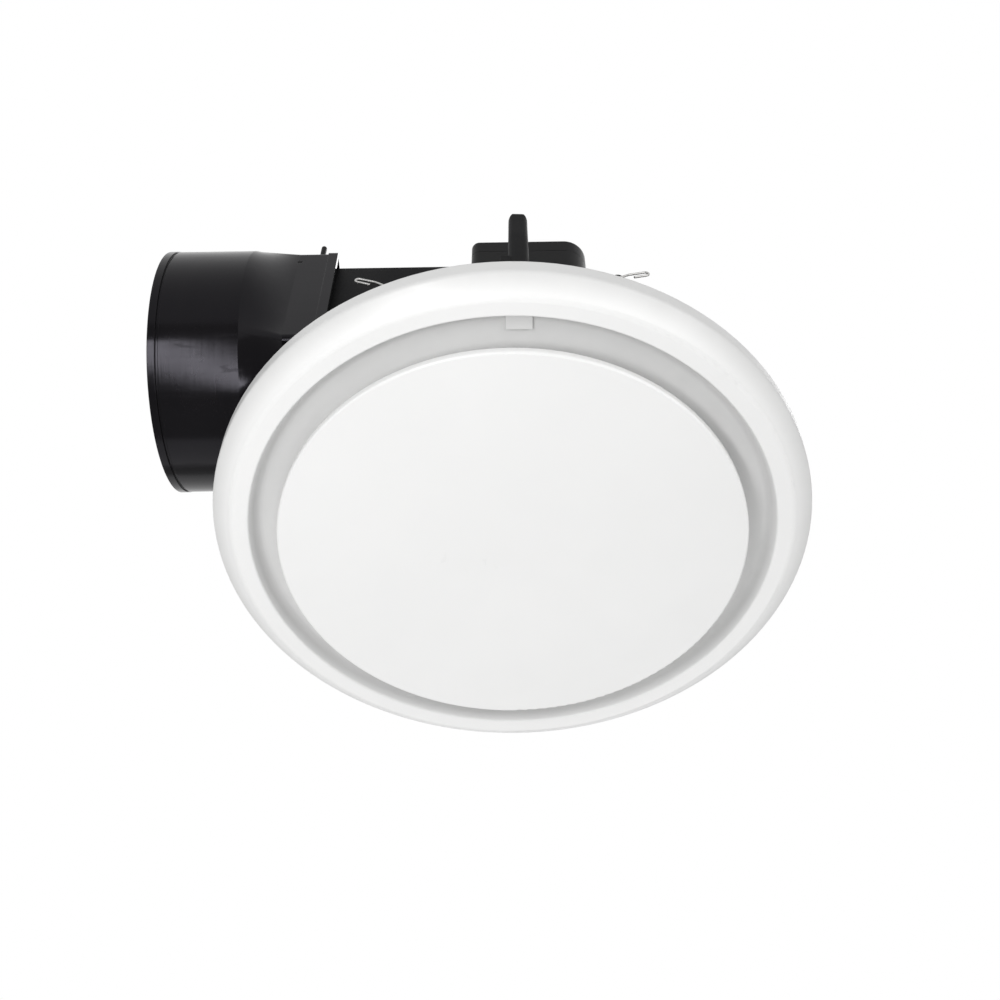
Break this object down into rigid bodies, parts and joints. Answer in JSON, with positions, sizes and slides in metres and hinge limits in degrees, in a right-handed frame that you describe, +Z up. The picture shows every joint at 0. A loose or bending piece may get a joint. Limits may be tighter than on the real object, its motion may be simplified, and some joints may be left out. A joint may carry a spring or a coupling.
{
  "type": "ceiling exhaust fan",
  "caption": "Round ceiling exhaust fan: white ring fascia with a flat centre panel, scroll housing above, side duct spigot, V-springs and swing clamps.",
  "frame": {"origin": "centre of the round fascia in the plane of the ceiling's underside", "axes": "+Z up into the roof space, the duct spigot points to -X, the terminal box is towards -Y"},
  "size_m": [0.383, 0.352, 0.1896],
  "materials": {
    "white_plastic": "satin",
    "black_gloss": "glossy",
    "black_matte": "fine texture",
    "grey_plastic": "satin",
    "impeller_plastic": "satin",
    "spring_steel": "bright drawn wire",
    "zinc_steel": "zinc plated",
    "foam": "closed cell foam",
    "rubber": "matt",
    "motor_aluminium": "die cast",
    "lamination_steel": "stacked sheets",
    "copper_wire": "enamelled wire",
    "brass": "machined",
    "bronze": "sintered",
    "terminal_plastic": "satin",
    "capacitor_plastic": "smooth"
  },
  "bodies": {
    "housing": {"adapter_pin": "black_matte", "bearing_lower": "bronze", "bearing_upper": "bronze", "body_base": "black_matte", "box_fixing_screws": "zinc_steel", "box_lid_screws": "zinc_steel", "bracket_screws": "zinc_steel", "cable_gland": "grey_plastic", "capacitor": "capacitor_plastic", "clamp_screws": "zinc_steel", "cover_screws": "zinc_steel", "duct_adapter": "black_gloss", "flange_gasket": "foam", "flap_axle": "zinc_steel", "flap_seal": "foam", "housing_screws": "zinc_steel", "inlet_ring": "black_matte", "inlet_screws": "zinc_steel", "motor_bell_lower": "motor_aluminium", "motor_bell_upper": "motor_aluminium", "motor_mounts": "rubber", "motor_screws": "zinc_steel", "mount_screws": "zinc_steel", "scroll_cover": "black_matte", "scroll_housing": "black_matte", "spring_bracket_far": "zinc_steel", "spring_bracket_near": "zinc_steel", "stator_core": "lamination_steel", "stator_windings": "copper_wire", "terminal_block": "terminal_plastic", "terminal_box": "black_matte", "terminal_box_lid": "black_matte", "terminal_screws": "brass"},
    "wheel": {"impeller": "impeller_plastic", "impeller_blades": "impeller_plastic", "impeller_bush": "brass", "impeller_nut": "brass", "shaft": "zinc_steel", "rotor": "lamination_steel"},
    "flap": {"damper_flap": "grey_plastic"},
    "fascia": {"fascia_ring": "white_plastic", "centre_panel": "white_plastic", "panel_screws": "zinc_steel", "spring_coil_near": "spring_steel", "spring_coil_far": "spring_steel", "spring_pin_near": "zinc_steel", "spring_pin_far": "zinc_steel"},
    "arm_near_left": {"spring_arm_near_left": "spring_steel"},
    "arm_near_right": {"spring_arm_near_right": "spring_steel"},
    "arm_far_left": {"spring_arm_far_left": "spring_steel"},
    "arm_far_right": {"spring_arm_far_right": "spring_steel"},
    "nut_1": {"clamp_nut_1": "zinc_steel"},
    "dog_1": {"clamp_dog_1": "grey_plastic"},
    "nut_2": {"clamp_nut_2": "zinc_steel"},
    "dog_2": {"clamp_dog_2": "grey_plastic"},
    "nut_3": {"clamp_nut_3": "zinc_steel"},
    "dog_3": {"clamp_dog_3": "grey_plastic"}
  },
  "joints": [
    {"name": "impeller_spin", "type": "hinge", "parent": "housing", "child": "wheel", "pos_m": [0.012, 0.012, 0.073], "axis": [0, 0, -1], "continuous": true},
    {"name": "flap_swing", "type": "hinge", "parent": "housing", "child": "flap", "pos_m": [-0.1265, -0.052, 0.1105], "axis": [0, 1, 0], "range_deg": [0, 75]},
    {"name": "fascia_drop", "type": "slide", "parent": "housing", "child": "fascia", "axis": [0, 0, -1], "range_m": [0, 0.06], "stiffness_N_per_m": 200, "springref_m": -0.06},
    {"name": "arm_fold_near_right", "type": "hinge", "parent": "fascia", "child": "arm_near_right", "pos_m": [-0.004, -0.124, 0.0305], "axis": [0, -1, 0], "range_deg": [0, 38.6]},
    {"name": "arm_fold_near_left", "type": "hinge", "parent": "fascia", "child": "arm_near_left", "pos_m": [-0.004, -0.124, 0.0305], "axis": [0, 1, 0], "range_deg": [0, 38.6]},
    {"name": "arm_fold_far_right", "type": "hinge", "parent": "fascia", "child": "arm_far_right", "pos_m": [0.004, 0.124, 0.0305], "axis": [0, 1, 0], "range_deg": [0, 38.6]},
    {"name": "arm_fold_far_left", "type": "hinge", "parent": "fascia", "child": "arm_far_left", "pos_m": [0.004, 0.124, 0.0305], "axis": [0, -1, 0], "range_deg": [0, 38.6]},
    {"name": "clamp_travel_1", "type": "slide", "parent": "housing", "child": "nut_1", "axis": [0, 0, -1], "range_m": [0, 0.031]},
    {"name": "dog_swing_1", "type": "hinge", "parent": "nut_1", "child": "dog_1", "pos_m": [0.00571, -0.13918, 0.0445], "axis": [0, 0, -1], "range_deg": [0, 100]},
    {"name": "clamp_travel_2", "type": "slide", "parent": "housing", "child": "nut_2", "axis": [0, 0, -1], "range_m": [0, 0.031]},
    {"name": "dog_swing_2", "type": "hinge", "parent": "nut_2", "child": "dog_2", "pos_m": [0.11768, 0.07454, 0.0445], "axis": [0, 0, -1], "range_deg": [0, 100]},
    {"name": "clamp_travel_3", "type": "slide", "parent": "housing", "child": "nut_3", "axis": [0, 0, -1], "range_m": [0, 0.031]},
    {"name": "dog_swing_3", "type": "hinge", "parent": "nut_3", "child": "dog_3", "pos_m": [-0.12339, 0.06464, 0.0445], "axis": [0, 0, -1], "range_deg": [0, 100]}
  ],
  "couplings": [
    {"joint": "arm_fold_near_right", "follows": "fascia_drop", "rad_per_m": 11.17},
    {"joint": "arm_fold_near_left", "follows": "fascia_drop", "rad_per_m": 11.17},
    {"joint": "arm_fold_far_right", "follows": "fascia_drop", "rad_per_m": 11.17},
    {"joint": "arm_fold_far_left", "follows": "fascia_drop", "rad_per_m": 11.17}
  ]
}
